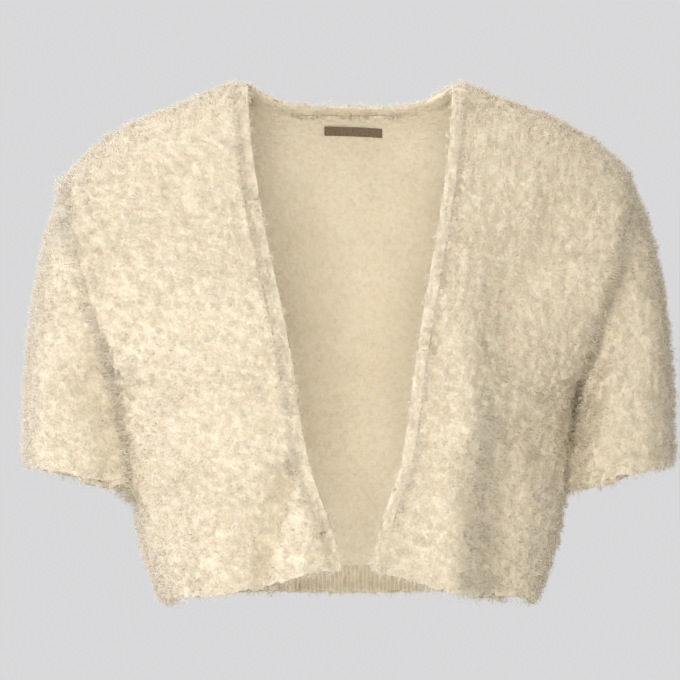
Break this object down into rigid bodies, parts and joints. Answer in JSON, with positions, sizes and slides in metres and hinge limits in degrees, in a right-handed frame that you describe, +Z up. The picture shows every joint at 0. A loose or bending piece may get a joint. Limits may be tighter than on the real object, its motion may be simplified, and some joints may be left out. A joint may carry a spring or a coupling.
{
  "type": "knitted shrug",
  "caption": "Cropped open-front knitted shrug with short dropped sleeves and a narrow front and neck band, filled out as worn.",
  "frame": {"origin": "on the shoulder line midway between the two neck points, at the inner face of the cloth, where a wearer's shoulders hold the garment up", "axes": "+X to the wearer's left, -Y to the wearer's front, +Z up"},
  "size_m": [0.552, 0.226, 0.442],
  "materials": {
    "cream_pile": "knitted ground with a soft curly pile",
    "cream_band": "short pile",
    "label_brown": "woven satin"
  },
  "bodies": {
    "root": {"back_panel": "cream_pile", "front_panel_left": "cream_pile", "front_panel_right": "cream_pile", "sleeve_left": "cream_pile", "sleeve_right": "cream_pile", "front_neck_band": "cream_band", "neck_label": "label_brown"}
  },
  "joints": []
}
